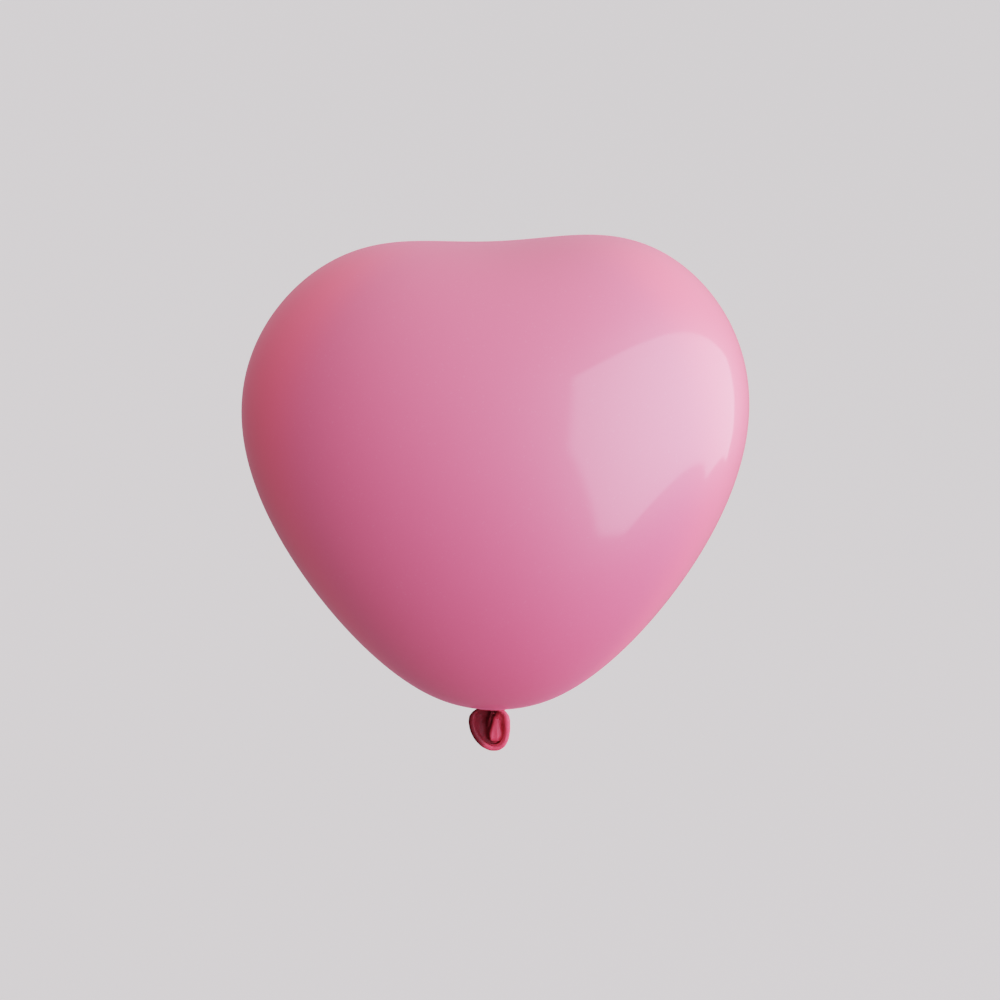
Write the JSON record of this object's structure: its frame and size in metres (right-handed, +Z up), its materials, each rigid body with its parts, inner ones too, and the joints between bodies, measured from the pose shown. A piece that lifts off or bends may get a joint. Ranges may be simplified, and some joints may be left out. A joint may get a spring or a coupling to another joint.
{
  "type": "heart-shaped balloon",
  "caption": "Blown-up heart-shaped latex balloon with a tie groove, a tight knot and a flared tail with a rolled lip, all free to turn and bend at the neck.",
  "frame": {"origin": "middle of the tie groove on the neck, on the neck's axis, just under the heart", "axes": "+Z up from the neck through the cleft, +X across the two lobes towards the slightly higher one, front faces -Y"},
  "size_m": [0.287, 0.1826, 0.3043],
  "materials": {
    "stretched_latex": "satin gloss, thin and stretched",
    "thick_latex": "satin, thick and unstretched"
  },
  "bodies": {
    "balloon": {"envelope": "stretched_latex", "neck_cone": "thick_latex"},
    "neck": {"neck_gather": "thick_latex"},
    "knot": {"knot_core": "thick_latex", "knot_loop": "thick_latex"},
    "tail": {"tail_funnel": "thick_latex", "rolled_lip": "thick_latex"}
  },
  "joints": [
    {"name": "neck_twist", "type": "hinge", "parent": "balloon", "child": "neck", "pos_m": [0, 0, -0.00095], "axis": [0, 0, 1], "range_deg": [-90, 90], "stiffness_Nm_per_rad": 0.001},
    {"name": "neck_bend", "type": "hinge", "parent": "neck", "child": "knot", "pos_m": [0, 0, -0.0032], "axis": [1, 0, 0], "range_deg": [0, 20], "stiffness_Nm_per_rad": 0.004},
    {"name": "tail_bend", "type": "hinge", "parent": "knot", "child": "tail", "pos_m": [0, -0.0052, -0.0056], "axis": [1, 0, 0], "range_deg": [0, 20], "stiffness_Nm_per_rad": 0.002}
  ]
}
